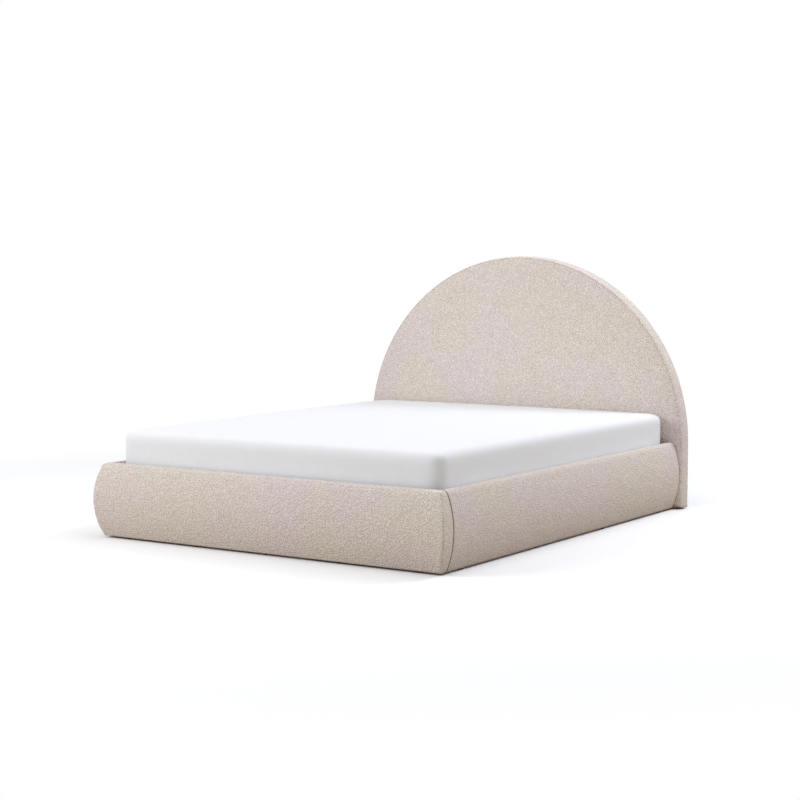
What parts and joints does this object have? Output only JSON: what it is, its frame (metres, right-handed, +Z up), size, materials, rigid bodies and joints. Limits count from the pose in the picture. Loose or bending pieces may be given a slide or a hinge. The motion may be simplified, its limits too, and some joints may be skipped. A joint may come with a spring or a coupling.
{
  "type": "upholstered bed",
  "caption": "Low upholstered double bed: half-round padded headboard down to the floor, bolster rails with a D section, slat roll on a centre beam with levelling feet, and a mattress.",
  "frame": {"origin": "on the floor, under the middle of the whole bed", "axes": "+X to the right of someone at the foot who faces the headboard, +Y towards the headboard, +Z up"},
  "size_m": [1.743, 2.1796, 1.1785],
  "materials": {
    "boucle": "matte",
    "foam": "matte",
    "plywood": "matte",
    "pine": "satin",
    "back_cloth": "matte",
    "black_plastic": "matte",
    "zinc_steel": "satin",
    "black_steel": "satin",
    "webbing": "matte",
    "ticking": "matte",
    "sheet": "matte"
  },
  "bodies": {
    "bed_frame": {"beam_hangers": "black_steel", "bracket_bolts": "zinc_steel", "centre_beam": "black_steel", "centre_leg_1": "black_steel", "centre_leg_2": "black_steel", "centre_leg_3": "black_steel", "foot_rail_board": "plywood", "foot_rail_cover": "boucle", "foot_rail_foam": "foam", "hanger_screws": "zinc_steel", "headboard_back_cloth": "back_cloth", "headboard_cover": "boucle", "headboard_fixing_pads": "pine", "headboard_foam": "foam", "headboard_glides": "black_plastic", "headboard_lower_rail": "pine", "headboard_middle_rail": "pine", "headboard_panel": "plywood", "headboard_rib_1": "plywood", "headboard_rib_2": "plywood", "headboard_rib_3": "plywood", "headboard_stile": "pine", "ledge_screws": "zinc_steel", "left_foot_bracket": "zinc_steel", "left_head_bracket": "zinc_steel", "left_headboard_post": "pine", "left_side_rail_board": "plywood", "left_side_rail_cover": "boucle", "left_side_rail_foam": "foam", "left_slat_ledge": "pine", "leg_bolts": "zinc_steel", "rail_glides": "black_plastic", "right_foot_bracket": "zinc_steel", "right_head_bracket": "zinc_steel", "right_headboard_post": "pine", "right_side_rail_board": "plywood", "right_side_rail_cover": "boucle", "right_side_rail_foam": "foam", "right_slat_ledge": "pine", "tee_nuts": "zinc_steel"},
    "slat_roll": {"slat_01": "pine", "slat_02": "pine", "slat_03": "pine", "slat_04": "pine", "slat_05": "pine", "slat_06": "pine", "slat_07": "pine", "slat_08": "pine", "slat_09": "pine", "slat_10": "pine", "slat_11": "pine", "slat_12": "pine", "slat_13": "pine", "left_slat_webbing": "webbing", "right_slat_webbing": "webbing"},
    "mattress": {"mattress_core": "ticking", "fitted_sheet": "sheet"},
    "foot_1": {"levelling_foot_1": "black_plastic"},
    "foot_2": {"levelling_foot_2": "black_plastic"},
    "foot_3": {"levelling_foot_3": "black_plastic"}
  },
  "joints": [
    {"name": "slat_roll_lift", "type": "slide", "parent": "bed_frame", "child": "slat_roll", "axis": [0, 0, 1], "range_m": [0, 0.15]},
    {"name": "mattress_lift", "type": "slide", "parent": "slat_roll", "child": "mattress", "axis": [0, 0, 1], "range_m": [0, 0.25]},
    {"name": "foot_1_level", "type": "slide", "parent": "bed_frame", "child": "foot_1", "axis": [0, 0, -1], "range_m": [0, 0.012]},
    {"name": "foot_2_level", "type": "slide", "parent": "bed_frame", "child": "foot_2", "axis": [0, 0, -1], "range_m": [0, 0.012]},
    {"name": "foot_3_level", "type": "slide", "parent": "bed_frame", "child": "foot_3", "axis": [0, 0, -1], "range_m": [0, 0.012]}
  ]
}
